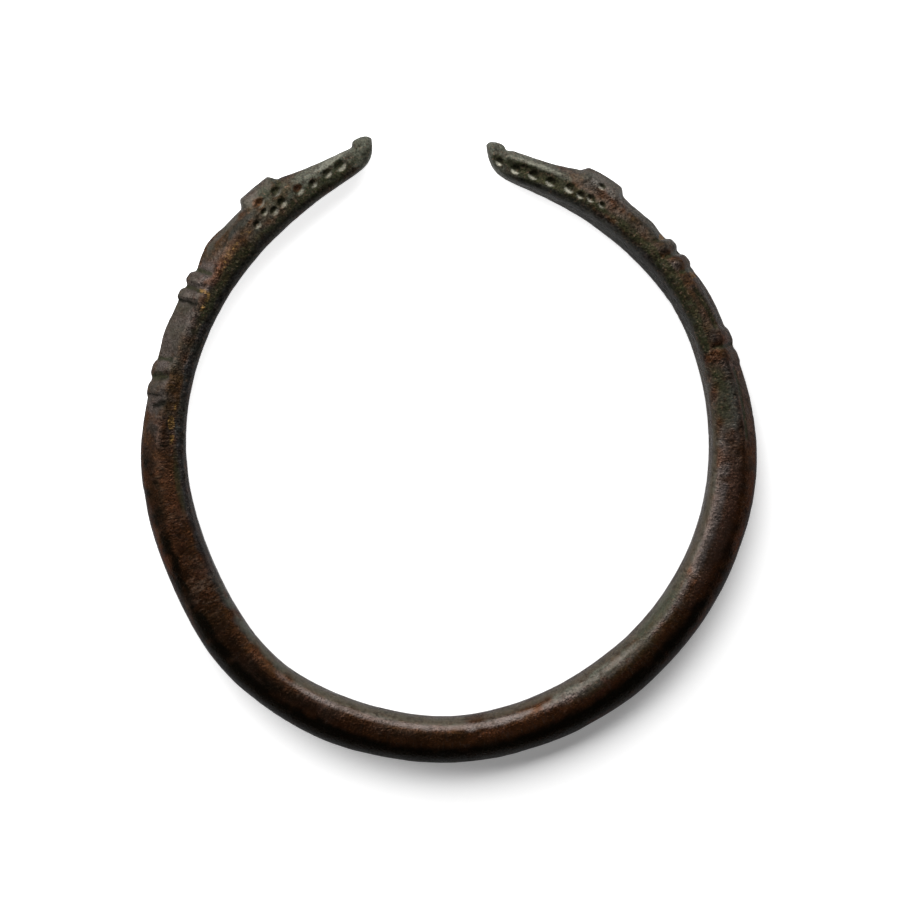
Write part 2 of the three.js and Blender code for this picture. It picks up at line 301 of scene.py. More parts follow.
def carved(arm, along, count):
    """The sections of an arm with their plate and ribs, kept flat below, as count points each."""
    direction = np.linspace(0, 2 * np.pi, STEPS_ROUND, endpoint=False)[None, :]
    outline = facets(arm, along, direction)
    centred = outline - outline.mean(1, keepdims=True)
    direction = np.arctan2(centred[..., 1], centred[..., 0])
    added = relief(arm, along[:, None], direction)
    outline[..., 0] += added * np.cos(direction)
    outline[..., 1] += added * np.sin(direction) * SIDE_SHARE
    outline[..., 1] = np.maximum(outline[..., 1], FLAT_DEPTH - BAR_HEIGHT / 2)
    return np.stack([evened(ring, count) for ring in outline])


def rounded_knobs(points, along):
    """The rings with the knobs at both ends smoothed from ring to ring."""
    share = 0.5 * ramp(-along, -KNOB_END, -KNOB_NECK)[1:-1, :, None]
    for _ in range(KNOB_PASSES):
        points[1:-1] += share * ((points[:-2] + points[2:]) / 2 - points[1:-1])
    return points


class Surface:
    """The bar's surface as a grid of points: a row is a ring round the bar, from the left tip on."""

    def __init__(self, count):
        along, straight, points, arms = [], [], [], []
        for arm in (LEFT, RIGHT):
            distance, line, outwards = inner_line(arm)
            places = ring_places(distance[-1])
            if arm is RIGHT:
                places = places[:-1][::-1]
            rings = carved(arm, places, count)
            foot = np.stack([np.interp(places, distance, line[:, axis]) for axis in (0, 1)], -1)
            out = np.stack([np.interp(places, distance, outwards[:, axis]) for axis in (0, 1)], -1)
            flat = foot[:, None] + out[:, None] * rings[..., :1]
            points.append(np.concatenate([flat, rings[..., 1:]], -1))
            along.append(places)
            straight.append(rings)
            arms.append(np.full(len(places), arm["side"]))
        self.along = np.concatenate(along)[:, None]
        self.arm = np.concatenate(arms)[:, None]
        self.out, self.up = np.moveaxis(np.concatenate(straight), -1, 0)
        self.points = rounded_knobs(np.concatenate(points), self.along)
        self.total = along[0][-1] + along[1].max()
        self.travel = np.where(self.arm > 0, self.along, self.total - self.along)
        shape = self.out.shape
        self.bar_place = np.stack([np.broadcast_to(self.travel, shape), self.out, self.up], -1)
        self.normals = self.outward_normals()
        self.height = np.zeros(shape)
        self.marks = {}

    def outward_normals(self):
        """The direction away from the metal at each point."""
        ahead = np.gradient(self.points, axis=0)
        around = np.roll(self.points, -1, axis=1) - np.roll(self.points, 1, axis=1)
        normals = np.cross(ahead, around)
        return normals / np.maximum(1e-12, np.linalg.norm(normals, axis=-1, keepdims=True))

    def on(self, arm, flank=0):
        """1 on that arm, and on its upper flank for 1 or its lower one for -1."""
        here = np.broadcast_to(self.arm == arm["side"], self.out.shape).astype(float)
        return here * ramp(self.normals[..., 2] * flank, 0.05, 0.3) if flank else here

    def mark(self, name, amount):
        """Adds to the share of a finish that shows, from 0 to 1."""
        self.marks[name] = np.clip(self.marks.get(name, 0) + amount, 0, 1)


def apart(surface, along, out):
    """How far along and out each point of the surface lies from a place."""
    return surface.along - along, surface.out - out


# The soft rim round a dot, in millimetres high and in half widths of the dot, how full the bowl of a dot
# is, and how near to its middle the height of the flank is taken
RIM_HEIGHT = 0.025
RIM_AT = 1.2
RIM_WIDTH = 0.16
BOWL_FULLNESS = 2.2
LEVEL_REACH = 0.35


def punch_dots(surface, depth):
    """The dots of the heads, on both flanks: crisp rims, a sunk floor, pale crust and painted light on the
    wall facing the key light, dirt and painted shade on the wall turned away.
    """
    for arm in (LEFT, RIGHT):
        for flank in (1, -1):
            there = surface.on(arm, flank)
            for at, out, width in arm["dots"]:
                off_along, off_out = apart(surface, at, out)
                near = (np.hypot(off_along, off_out) < LEVEL_REACH) & (there > 0.5)
                level = surface.up[near].mean() if near.any() else 0
                away = np.sqrt(off_along**2 + off_out**2 + (surface.up - level) ** 2) / (width / 2)
                bowl = 1 - np.minimum(1, away) ** BOWL_FULLNESS
                rim = RIM_HEIGHT * np.exp(-(((away - RIM_AT) / RIM_WIDTH) ** 2))
                surface.height += there * (rim - arm["punch"] * depth * bowl)
                inside = there * ramp(-away, -1.1, -0.85)
                across = (off_out + 0.25 * off_along) / width
                # Painted light and shade in each dot: pale cream on the wall that faces the key light,
                # partly crust and partly painted light; olive and dark dirt on the wall turned away, partly
                # dirt and partly painted shade.
                surface.mark("cream", arm["crust_and_light"] * inside * ramp(-across, 0.02, 0.3))
                surface.mark("olive", inside * ramp(across, -0.25, 0.2))
                surface.mark("dirt_and_shade", 0.4 * inside * ramp(across, -0.1, 0.3))


def cut_line(surface, arm, start, end, width, depth, flank, finish):
    """A groove along a straight line between two places, open at neither end."""
    (a0, o0), (a1, o1) = start, end
    length = np.hypot(a1 - a0, o1 - o0)
    off_along, off_out = apart(surface, a0, o0)
    share = np.clip((off_along * (a1 - a0) + off_out * (o1 - o0)) / length**2, 0, 1)
    away = np.hypot(off_along - share * (a1 - a0), off_out - share * (o1 - o0))
    groove = swell(away, width) * surface.on(arm, flank)
    surface.height -= depth * groove
    if finish:
        surface.mark(finish, groove)


# Ends, half width, depth and finish of each groove
LEFT_CUTS = [
    ((23.9, 4.9), (23.5, 3.0), 0.3, 0.05, "olive"),
    ((25.9, 4.9), (25.6, 2.8), 0.26, 0.08, "olive"),
    ((27.5, 4.9), (27.15, 2.7), 0.22, 0.14, "dirt_and_shade"),
    ((33.9, 4.9), (33.6, 3.0), 0.3, 0.05, "olive"),
    ((35.8, 4.8), (35.4, 3.0), 0.36, 0.2, "olive"),
    ((37.65, 4.9), (37.65, 3.3), 0.16, 0.08, "dirt_and_shade"),
    ((38.75, 3.9), (38.35, 2.7), 0.32, 0.12, "dirt_and_shade"),
    ((11.45, 5.2), (11.5, 4.1), 0.22, 0.2, "olive"),
]
RIGHT_CUTS = [
    ((21.7, 4.3), (21.3, 2.9), 0.26, 0.06, "olive"),
    ((23.9, 4.4), (23.4, 2.7), 0.28, 0.12, "olive"),
    ((26.1, 4.3), (25.6, 2.8), 0.26, 0.08, "olive"),
    ((28, 3.1), (32.3, 3.25), 0.3, 0.1, "olive"),
    ((34.6, 4.7), (34.4, 2.2), 0.26, 0.2, "olive"),
    ((37.2, 3.9), (44.5, 4.25), 0.24, 0.05, "olive"),
    ((60.3, 0.8), (60.5, 2.1), 0.24, 0.06, None),
]

# How deep the grooves are on the lower flanks, as a share of their depth on the upper ones
LOWER_CUT_SHARE = 0.7

# Line, height, width, depth of the sunk flank under it and fade at the ends of each ridge
RIDGES = [
    (LEFT, [(2.5, 2.3), (6, 2.5), (10.5, 2.95)], 0.04, 0.22, 0.06, 0.6),
    (RIGHT, [(3, 2.45), (6, 2.75), (10, 3.15)], 0.08, 0.2, 0.2, 0.6),
    (RIGHT, [(26, 2.75), (34, 2.85), (40, 3.4), (47, 3.9)], 0.05, 0.22, 0.0, 1.5),
]


def cut_grooves(surface):
    """The grooves beside the ribs and along the arms, shallower on the lower flanks."""
    for arm, cuts in ((LEFT, LEFT_CUTS), (RIGHT, RIGHT_CUTS)):
        for start, end, width, depth, finish in cuts:
            cut_line(surface, arm, start, end, width, depth, 1, finish)
            cut_line(surface, arm, start, end, width, LOWER_CUT_SHARE * depth, -1, finish)


def raise_ridge(surface, arm, line, height, width, below, fade):
    """A ridge along a line of (along, out) places, with the flank under it sunk a little."""
    out = through(line, surface.along)
    first, last = line[0][0], line[-1][0]
    begun = ramp(surface.along, first - fade, first + fade)
    ended = ramp(surface.along, last - fade, last + fade)
    there = surface.on(arm, 1) * begun * (1 - ended)
    off = surface.out - out
    surface.height += there * height * np.exp(-((off / width) ** 2))
    surface.height -= there * below * ramp(-off, 0, 0.5) * ramp(off, -2.2, -1.2)


# Width, share of the whole height and number of layers of each kind of unevenness
UNEVENNESS = [(5.2, 1, 3), (1.3, 0.35, 2), (0.42, 0.16, 1)]

# How far the pits' and stains' seeds lie from the bracelet's own
PIT_SEED = 30
STAIN_SEED = 100

# Count, least and greatest radius, depth and dirt of the pits and of the dents
PITS = [(1500, 0.1, 0.24, 1.0, 0.7), (420, 0.22, 0.5, 0.9, 0.4), (70, 0.7, 1.7, 1.1, 0.0)]


def cast_unevenly(surface, seed, height):
    """The gentle swells and fine grain of an old casting."""
    for step, (width, share, layers) in enumerate(UNEVENNESS):
        surface.height += share * height * layered_noise(surface.points, width, seed + 10 * step, layers)


def pit(surface, seed, pit_depth):
    """Pits and dents scattered over the casting, with dirt in the pits."""
    random = np.random.default_rng(seed)
    columns = surface.out.shape[1]
    travel = surface.travel[:, 0]
    dirt_and_shade = surface.marks["dirt_and_shade"]
    for count, least, most, deep, dirt in PITS:
        where = random.uniform(0, surface.total, count)
        column = random.integers(0, columns, count)
        size = random.uniform(least, most, count)
        depth = random.uniform(0.4, 1, count) * deep * pit_depth
        for at, side, radius, sunk in zip(where, column, size, depth):
            first, last = np.searchsorted(travel, (at - radius, at + radius))
            if last - first < 2:
                continue
            window = slice(first, last)
            middle = surface.bar_place[(first + last) // 2, side]
            away = np.linalg.norm(surface.bar_place[window] - middle, axis=-1) / radius
            bowl = ramp(-away, -1, -0.2)
            surface.height[window] -= sunk * bowl
            dirt_and_shade[window] = np.maximum(dirt_and_shade[window], dirt * bowl)


# Patches of each finish on the upper flanks: arm, middle along and out, half sizes and share
PATCHES = {
    "russet": [
        (LEFT, (50, 3), (10, 1.8), 0.6),
        (LEFT, (76, 2.6), (14, 1.2), 0.5),
        (RIGHT, (13.5, 3.3), (3.5, 0.8), 0.4),
        (RIGHT, (20.5, 3.2), (5, 0.9), 0.45),
        (RIGHT, (33.6, 3), (1.4, 1.6), 0.5),
        (RIGHT, (56, 3.4), (9, 1.4), 0.5),
        (RIGHT, (80, 2.6), (16, 1.2), 0.5),
    ],
    # Painted sheen: the mauve patches 1.2 to 1.5 out on the hoop lie along its inner top edge where the key
    # light's highlight falls, and brighten it; the rest are grey, rubbed patina.
    "mauve": [
        (LEFT, (14, 5.3), (4, 1.1), 0.85),
        (LEFT, (19, 4.9), (4, 0.5), 0.8),
        (LEFT, (30, 3.9), (12, 1.7), 0.8),
        (LEFT, (30, 2.2), (5, 0.8), 0.25),
        (LEFT, (38.5, 3), (6, 0.7), 0.3),
        (LEFT, (84, 1.2), (16, 0.5), 0.8),
        (RIGHT, (13, 4.6), (3.6, 1.1), 0.7),
        (RIGHT, (19, 4.1), (7, 0.9), 0.6),
        (RIGHT, (22.7, 3.1), (0.7, 0.9), 0.5),
        (RIGHT, (24.8, 3.1), (0.7, 0.9), 0.5),
        (RIGHT, (33.4, 3), (0.8, 1), 0.4),
        (RIGHT, (40, 4.3), (7, 1), 0.1),
        (RIGHT, (41, 2.3), (4, 0.9), 0.5),
        (RIGHT, (54, 1.5), (14, 1), 0.8),
        (RIGHT, (54, 2.6), (12, 1.5), 0.25),
        (RIGHT, (74, 1.5), (15, 0.9), 0.9),
        (RIGHT, (92, 1.3), (12, 0.6), 0.9),
    ],
    "slate": [
        (LEFT, (13.2, 4.2), (0.8, 1.2), 0.9),
        (LEFT, (17.2, 3.7), (2.4, 0.6), 0.9),
        (LEFT, (32, 0.4), (44, 0.9), 1),
        (RIGHT, (12, 4), (1.4, 1), 0.5),
        (RIGHT, (18, 0.5), (26, 1.2), 1),
        (RIGHT, (30, 3.7), (3.5, 0.6), 0.6),
        (RIGHT, (33.3, 2.5), (0.8, 0.6), 0.7),
        (RIGHT, (40, 3), (5, 0.8), 0.8),
    ],
    "verdigris": [
        (LEFT, (1, 2.2), (4, 3.5), 0.95),
        (LEFT, (1.5, 1), (3, 1.6), 0.9),
        (LEFT, (7, 2.6), (7, 2.4), 0.75),
        (LEFT, (14.5, 2.4), (4.5, 1.2), 0.5),
        (LEFT, (82, 0.4), (26, 0.7), 0.6),
        (RIGHT, (1, 2.6), (2.6, 3), 0.9),
        (RIGHT, (1.2, 1.2), (2.4, 1.2), 0.8),
        (RIGHT, (5.5, 3.1), (5, 0.9), 0.8),
        (RIGHT, (40.5, 2.2), (4, 1.4), 0.45),
        (RIGHT, (64, 0.4), (36, 0.7), 0.55),
        (RIGHT, (66, 0.7), (6, 0.7), 0.35),
        (RIGHT, (72, 1.2), (14, 0.6), 0.4),
    ],
    "olive": [
        (LEFT, (8, 1.1), (9, 1), 0.75),
        (LEFT, (11.4, 4.8), (0.6, 1), 0.7),
        (LEFT, (23, 1.3), (9, 0.8), 0.9),
        (LEFT, (35.6, 3.8), (0.7, 1.2), 0.7),
        (LEFT, (47, 1.1), (5, 0.5), 0.7),
        (RIGHT, (7, 2.3), (6.5, 0.7), 0.8),
        (RIGHT, (8, 1.8), (9, 0.9), 1),
        (RIGHT, (22, 1.9), (11, 0.7), 0.85),
        (RIGHT, (30, 1.3), (8, 0.7), 0.7),
        (RIGHT, (40, 1.9), (4, 1.2), 0.5),
        (RIGHT, (66, 0.9), (7, 0.8), 0.6),
        (RIGHT, (72, 2.2), (10, 0.8), 0.5),
    ],
    "glow": [
        (LEFT, (10.1, 2.5), (0.7, 0.5), 0.9),
        (LEFT, (14.4, 4.2), (0.7, 0.6), 0.8),
        (LEFT, (19.5, 2.7), (4, 0.9), 0.5),
        (LEFT, (47, 2.9), (5, 1.6), 0.35),
        (LEFT, (54, 3.8), (6, 1), 0.4),
        (LEFT, (88, 3), (10, 0.8), 0.5),
        (RIGHT, (88, 2.8), (9, 0.8), 0.5),
        (RIGHT, (90, 4.6), (12, 0.8), 0.4),
    ],
    "gold": [
        (LEFT, (18, 2.6), (1.6, 0.6), 0.35),
        (LEFT, (20.8, 2.4), (2, 0.7), 0.5),
        (LEFT, (22.8, 2), (1.4, 0.4), 0.4),
        (LEFT, (25.5, 2.6), (0.35, 0.9), 0.7),
        (LEFT, (26.6, 1.8), (1.5, 0.45), 0.6),
        (LEFT, (38.6, 1.3), (0.7, 0.3), 0.75),
        (LEFT, (40.4, 1.6), (0.9, 0.5), 0.85),
        (LEFT, (42.2, 1.5), (0.8, 0.4), 0.8),
        (RIGHT, (21.6, 4), (0.6, 0.6), 0.75),
        (RIGHT, (26.5, 3.8), (0.6, 0.5), 0.7),
        (RIGHT, (34.9, 2), (0.5, 0.9), 0.35),
    ],
    # Darkening: the two patches 4.6 out on the hoop paint shade on its outer lower side, which faces away
    # from the key light; the others darken the bar where they lie.
    "dirt_and_shade": [
        (LEFT, (16, 0.3), (24, 0.8), 0.45),
        (LEFT, (18, 3.8), (3.5, 0.8), 0.5),
        (LEFT, (30, 2.2), (7, 1.1), 0.3),
        (LEFT, (39.5, 2.2), (6, 0.9), 0.3),
        (LEFT, (48, 4.2), (9, 1.2), 0.4),
        (LEFT, (58, 2.8), (22, 2.4), 0.5),
        (LEFT, (80, 4.6), (32, 1.5), 1),
        (LEFT, (82, 2.4), (18, 1.1), 0.45),
        (RIGHT, (7, 2.2), (6, 0.6), 0.35),
        (RIGHT, (14, 0.3), (24, 0.9), 0.6),
        (RIGHT, (20, 3.2), (5, 0.9), 0.25),
        (RIGHT, (80, 4.6), (32, 1.5), 1),
    ],
    "cream": [
        (LEFT, (5.6, 2.75), (3.2, 0.4), 0.15),
        (RIGHT, (6, 2.95), (4, 0.4), 0.2),
    ],
    "worn": [
        (LEFT, (14, 5.2), (3, 0.9), 0.6),
        (LEFT, (19, 4.7), (4, 0.9), 0.8),
        (LEFT, (30, 3.9), (12, 1.7), 1),
        (RIGHT, (13, 4.6), (3.6, 1), 0.5),
        (RIGHT, (23.8, 3.6), (2.6, 1), 0.6),
        (RIGHT, (34, 3.2), (2.6, 1.2), 0.6),
    ],
    "scratched": [
        (LEFT, (46, 3.4), (2, 1.4), 0.5),
        (LEFT, (56.4, 2), (1.4, 0.9), 0.6),
        (LEFT, (60, 2.6), (3, 2.2), 1),
        (RIGHT, (60.4, 1.6), (0.5, 1), 0.6),
    ],
}

# How far the patches' borders stray, where those below stand further along, and how much of them shows
STRAY = 0.45
RAGGED_WIDTH = 1.1
BELOW_SHIFT = 2
BELOW_SHARE = 0.6


def lay_patches(surface, ragged):
    """Marks where each finish shows, with ragged borders, on the upper flanks and fainter below."""
    for name, patches in PATCHES.items():
        for arm, (along, out), (half_along, half_out), share in patches:
            off_along, off_out = apart(surface, along, out)
            inside = 1 - np.hypot(off_along / half_along, off_out / half_out) + STRAY * ragged
            surface.mark(name, share * ramp(inside, -0.05, 0.55) * surface.on(arm, 1))
            off_along = off_along + BELOW_SHIFT
            below = 1 - np.hypot(off_along / half_along, off_out / half_out) - STRAY * ragged
            surface.mark(name, BELOW_SHARE * share * ramp(below, -0.05, 0.55) * surface.on(arm, -1))


def stain_all_over(surface, seed, ragged):
    """The finishes that drift over whole stretches: snout, neck and hoop, on every side."""

    def drift(width, step, low, high):
        return ramp(layered_noise(surface.points, width, seed + step), low, high)

    hoop = ramp(surface.along, 15, 24)
    neck = 1 - ramp(surface.along, 36, 50)
    surface.mark("mauve", 0.45 * neck * ramp(ragged, -0.5, 0.5))
    surface.mark("olive", 0.5 * neck * drift(2.2, 20, -0.4, 0.5))
    surface.mark("verdigris", 0.3 * (1 - hoop) * ramp(ragged, -0.8, 0.3))
    surface.mark("verdigris", 0.8 * (1 - ramp(surface.along, 2, 5)))
    surface.mark("russet", 0.6 * hoop * drift(9, 5, -0.15, 0.6))
    surface.mark("mauve", 0.3 * hoop * drift(4, 8, 0.05, 0.6))
    surface.mark("olive", 0.35 * drift(6, 12, 0.15, 0.7))
    surface.mark("worn", ramp(surface.along, 36, 48) * (0.5 + 0.5 * drift(3, 16, -0.5, 0.4)))


class Socket:
    """A shader node's output that sums and products can be written with."""

    def __init__(self, nodes, output):
        self.nodes = nodes
        self.output = output

    def maths(self, operation, first, second=0.0, clamp=False):
        settings = {"operation": operation, "use_clamp": clamp}
        return self.nodes.add("ShaderNodeMath", settings, {0: first, 1: second})

    def __add__(self, other):
        return self.maths("ADD", self, other)

    def __sub__(self, other):
        return self.maths("SUBTRACT", self, other)

    def __rsub__(self, other):
        return self.maths("SUBTRACT", other, self)

    def __mul__(self, other):
        return self.maths("MULTIPLY", self, other)

    def __abs__(self):
        return self.maths("ABSOLUTE", self)

    __radd__ = __add__
    __rmul__ = __mul__

    def clamped(self):
        return self.maths("ADD", self, 0.0, clamp=True)

    def between(self, low, high):
        """0 where this is under low, 1 where it is over high, and smooth from one to the other."""
        values = {"Value": self, "From Min": low, "From Max": high}
        return self.nodes.add("ShaderNodeMapRange", {"interpolation_type": "SMOOTHSTEP"}, values)

    def stretched(self, low, high, to_low, to_high):
        """This, carried in a straight line from one span of values to another, and held to that span."""
        values = {"Value": self, "From Min": low, "From Max": high, "To Min": to_low, "To Max": to_high}
        return self.nodes.add("ShaderNodeMapRange", {}, values)


class Nodes:
    """The nodes of one material, added one by one."""

    def __init__(self, name):
        self.material = bpy.data.materials.new(name)
        self.material.use_nodes = True
        self.tree = self.material.node_tree
        self.shader = self.tree.nodes["Principled BSDF"]

    def add(self, kind, settings, values, output=0):
        """Adds a node with its settings, then its sockets' values or links, and returns one output."""
        made = self.tree.nodes.new(kind)
        for name, value in settings.items():
            setattr(made, name, value)
        self.feed(made, values)
        return Socket(self, made.outputs[output])

    def feed(self, made, values):
        """Gives the sockets of a node, by number or name, their values or links."""
        for name, value in values.items():
            if isinstance(value, Socket):
                self.tree.links.new(value.output, made.inputs[name])
            else:
                made.inputs[name].default_value = value

    def place(self):
        """Where a point lies in the part, in metres."""
        return self.add("ShaderNodeTexCoord", {}, {}, output="Object")

    def bar_place(self, scale):
        """Where a point lies on the bar: along, out and up in millimetres, each scaled."""
        bar = self.add("ShaderNodeAttribute", {"attribute_name": "bar_place"}, {}, output="Vector")
        return self.multiplied(bar, scale)

    def finish(self, name):
        """The share of a finish that was marked on the surface."""
        return self.add("ShaderNodeAttribute", {"attribute_name": name}, {}, output="Fac")

    def mottle(self, place, name):
        """One kind of soft spots, from 0 to 1."""
        scale, detail, roughness = SOFT_SPOTS[name]
        values = {"Vector": place, "Scale": scale, "Detail": detail, "Roughness": roughness}
        return self.add("ShaderNodeTexNoise", {}, values)

    def multiplied(self, one, other):
        """Two vectors or colours multiplied part by part."""
        return self.add("ShaderNodeVectorMath", {"operation": "MULTIPLY"}, {0: one, 1: other})

    def laid_over(self, under, share, colour):
        """One colour laid over another by a share."""
        settings = {"data_type": "RGBA", "blend_type": "MIX"}
        return self.add("ShaderNodeMix", settings, {0: share, 6: under, 7: colour}, output=2)


# How strongly each stain colours the bronze, from the lowest layer up. The mauve layer is partly painted
# sheen and the olive layer partly painted shade
STAINS = {"russet": 0.9, "mauve": 0.9, "slate": 0.8, "verdigris": 0.95, "olive": 0.9, "glow": 0.8}

# Scale, detail and roughness of the soft spots that the bronze's layers are made of
SOFT_SPOTS = {
    "fine": (3600.0, 5.0, 0.7),
    "grain": (1500.0, 5.0, 0.65),
    "cloud": (420.0, 4.0, 0.6),
    "rust": (760.0, 5.0, 0.7),
    "blotches": (950.0, 5.0, 0.7),
    "specks": (2700.0, 3.0, 0.6),
    "crinkle": (2300.0, 2.0, 0.6),
    "brushed": (5.5, 3.0, 0.6),
    "scratches": (1.5, 3.0, 0.6),
}

# How a place on the bar is scaled along, out and up, which draws the spots out across the bar
BRUSHED_WAY = (1.0, 0.16, 0.16)
SCRATCHED_WAY = (2.0, 0.4, 0.4)

BUMP_DEPTH = 0.15 * MM


def bronze_material(colours):
    """Old bronze: dark patina and stains in their places, painted sheen, light and shade where the light
    falls, bare metal where worn.
    """
    nodes = Nodes("old_bronze")
    place = nodes.place()
    fine, grain, cloud = (nodes.mottle(place, name) for name in ("fine", "grain", "cloud"))
    brushed = nodes.mottle(nodes.bar_place(BRUSHED_WAY), "brushed")
    worn = nodes.finish("worn")

    scratches = nodes.mottle(nodes.bar_place(SCRATCHED_WAY), "scratches").between(0.54, 0.61)
    scratches = scratches * nodes.finish("scratched")
    bare = (nodes.finish("gold") + (grain - 0.5) * 1.6 + (fine - 0.5) * 0.8).between(0.35, 1.0)
    layers = [("russet", cloud.between(0.35, 0.68) * 0.55)]
    for name, strength in STAINS.items():
        layers.append((name, (nodes.finish(name) * strength * (0.55 + grain * 0.9)).clamped()))
    rust = nodes.mottle(place, "rust").between(0.54, 0.66)
    blotches = nodes.mottle(place, "blotches").between(0.52, 0.62)
    specks = nodes.mottle(place, "specks").between(0.56, 0.7)
    layers += [
        ("rust", rust * (nodes.finish("russet") * 0.45 + 0.08)),
        ("dusk", blotches * (0.6 - worn * 0.2)),
        ("mauve", (brushed.between(0.52, 0.75) * 0.3).clamped()),
        ("speck", specks * (0.5 - worn * 0.35)),
        ("speck", scratches * 0.85),
        ("gold", bare),
        # Dark dirt in pits and grooves, painted shade in the dots, and painted shade on the hoop's outer
        # lower side.
        ("soot", (nodes.finish("dirt_and_shade") * (0.5 + fine * 0.8)).clamped()),
        ("cream", (nodes.finish("cream") * (0.45 + grain)).clamped()),
    ]
    colour = (*colours.patina, 1)
    for name, share in layers:
        colour = nodes.laid_over(colour, share, (*getattr(colours, name), 1))
    shade = fine.stretched(0.32, 0.66, -0.75, 0.6) * (1.0 - worn * 0.65) + 1.0
    shades = nodes.add("ShaderNodeCombineXYZ", {}, {0: shade, 1: shade, 2: shade})

    verdigris = nodes.finish("verdigris")
    olive = nodes.finish("olive")
    rough = 0.3 + (grain - 0.5) * 0.35 + verdigris * 0.2 + olive * 0.1 - worn * 0.05
    matt = (verdigris * 0.35 + olive * 0.15 + nodes.finish("cream") * 0.7).clamped()
    crinkle = abs(nodes.mottle(place, "crinkle") - 0.5)
    skin = fine * 0.3 + grain * 0.6 + brushed * 0.35 + crinkle * 1.2
    height = skin * (1.0 - worn * 0.45) + scratches * 0.4
    bump = nodes.add("ShaderNodeBump", {}, {"Strength": 0.95, "Distance": BUMP_DEPTH, "Height": height})
    nodes.feed(nodes.shader, {
        "Base Color": nodes.multiplied(colour, shades),
        "Roughness": rough.clamped(),
        "Metallic": (0.75 - matt + bare * 0.2).clamped(),
        "Normal": bump,
        "IOR": 1.35,
        "Specular Tint": (0.15, 0.15, 0.145, 1),
    })
    return nodes.material


class BraceletSizes(bpy.types.PropertyGroup):
    """Sizes of the bracelet's surface"""

    points_round: IntProperty(
        name="Points round", description="Points in each ring round the bar", default=124,
        min=40, max=128,
    )
    seed: IntProperty(name="Seed", description="Which pits, dents and stains are drawn", default=7)
    dot_depth: FloatProperty(
        name="Dot depth", description="Depth of the punched dots", default=0.42 * MM,
        unit="LENGTH", precision=6,
    )
    pit_depth: FloatProperty(
        name="Pit depth", description="Depth of the corrosion pits", default=0.055 * MM,
        unit="LENGTH", precision=6,
    )
    unevenness: FloatProperty(
        name="Unevenness", description="Height of the casting's unevenness", default=0.075 * MM,
        unit="LENGTH", precision=6,
    )


def colour_property(name, description, default):
    """A colour that the panel shows."""
    return FloatVectorProperty(
        name=name, description=description, default=default, subtype="COLOR", size=3, min=0, max=1
    )


class BronzeColours(bpy.types.PropertyGroup):
    """Colours of the bronze, of what lies on it, and of its painted sheen, light and shade"""

    patina: colour_property("Patina", "The dark skin of the metal", (0.042, 0.0175, 0.006))
    russet: colour_property("Russet", "Red-brown oxide", (0.064, 0.022, 0.01))
    # Mauve is grey, rubbed patina, and also painted sheen along the hoop's inner top edge where the key
    # light's highlight falls.
    mauve: colour_property("Mauve", "Grey, rubbed patina on the back of the arms", (0.085, 0.071, 0.065))
    # Olive is a green-brown stain, and in the dots also painted shade on the walls turned away from the key
    # light.
    olive: colour_property("Olive", "Green-brown stain low on the flanks", (0.021, 0.023, 0.01))
    verdigris: colour_property("Verdigris", "Grey-green corrosion of the snouts", (0.085, 0.088, 0.068))
    slate: colour_property("Slate", "Blue-grey patches", (0.042, 0.044, 0.045))
    glow: colour_property("Glow", "Orange-brown copper oxide", (0.1, 0.037, 0.014))
    rust: colour_property("Rust", "Red spots in the skin", (0.085, 0.031, 0.022))
    dusk: colour_property("Dusk", "Dark blotches in the skin", (0.018, 0.011, 0.006))
    speck: colour_property("Speck", "Small rubbed spots", (0.15, 0.095, 0.065))
    gold: colour_property("Gold", "Bare metal where it is worn", (0.2, 0.115, 0.04))
    # Cream is pale crust, and in the dots also painted light on the walls that face the key light.
    cream: colour_property("Cream", "Pale crust in the dots", (0.5, 0.48, 0.39))
    # Soot is dark dirt in pits and grooves, and also painted shade on the hoop's outer lower side and in
    # the dots.
    soot: colour_property("Soot", "Dirt in the hollows", (0.005, 0.005, 0.003))


class StudioSettings(bpy.types.PropertyGroup):
    """The floor, the light and the camera"""

    floor: colour_property("Floor", "Colour of the floor", (0.9, 0.9, 0.9))
    glow_near: FloatProperty(
        name="Glow near", description="Floor's own light at the lower right", default=0.22
    )
    glow_far: FloatProperty(
        name="Glow far", description="Floor's own light beside the key light", default=0.85
    )
    key_power: FloatProperty(
        name="Key power", description="Power of the soft key light", default=38.5, unit="POWER"
    )
    key_width: FloatProperty(
        name="Key width", description="Width of the key light", default=2.6, unit="LENGTH"
    )
    key_height: FloatProperty(
        name="Key height", description="Height of the key light", default=0.9, unit="LENGTH"
    )
    room: FloatProperty(name="Room", description="Brightness of the room round the bracelet", default=0.01)
    camera_height: FloatProperty(
        name="Camera height", description="Height of the camera over the bar", default=0.43, unit="LENGTH"
    )


class BRACELET_OT_bar(bpy.types.Operator):
    """Makes the bracelet's cast and carved surface and its bronze"""

    bl_idname = "bracelet.bar"
    bl_label = "Bracelet"

    def execute(self, context):
        sizes = context.scene.bracelet_sizes
        surface = Surface(sizes.points_round)
        for name in PATCHES:
            surface.mark(name, np.zeros(surface.out.shape))
        punch_dots(surface, sizes.dot_depth / MM)
        cut_grooves(surface)
        for ridge in RIDGES:
            raise_ridge(surface, *ridge)
        cast_unevenly(surface, sizes.seed, sizes.unevenness / MM)
        pit(surface, sizes.seed + PIT_SEED, sizes.pit_depth / MM)
        stain_seed = sizes.seed + STAIN_SEED
        ragged = layered_noise(surface.points, RAGGED_WIDTH, stain_seed)
        lay_patches(surface, ragged)
        stain_all_over(surface, stain_seed, ragged)
        bracelet = bar_object(surface)
        bracelet.data.materials.append(bronze_material(context.scene.bronze_colours))
        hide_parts(NODE)
        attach(bracelet, "root")
        return {"FINISHED"}


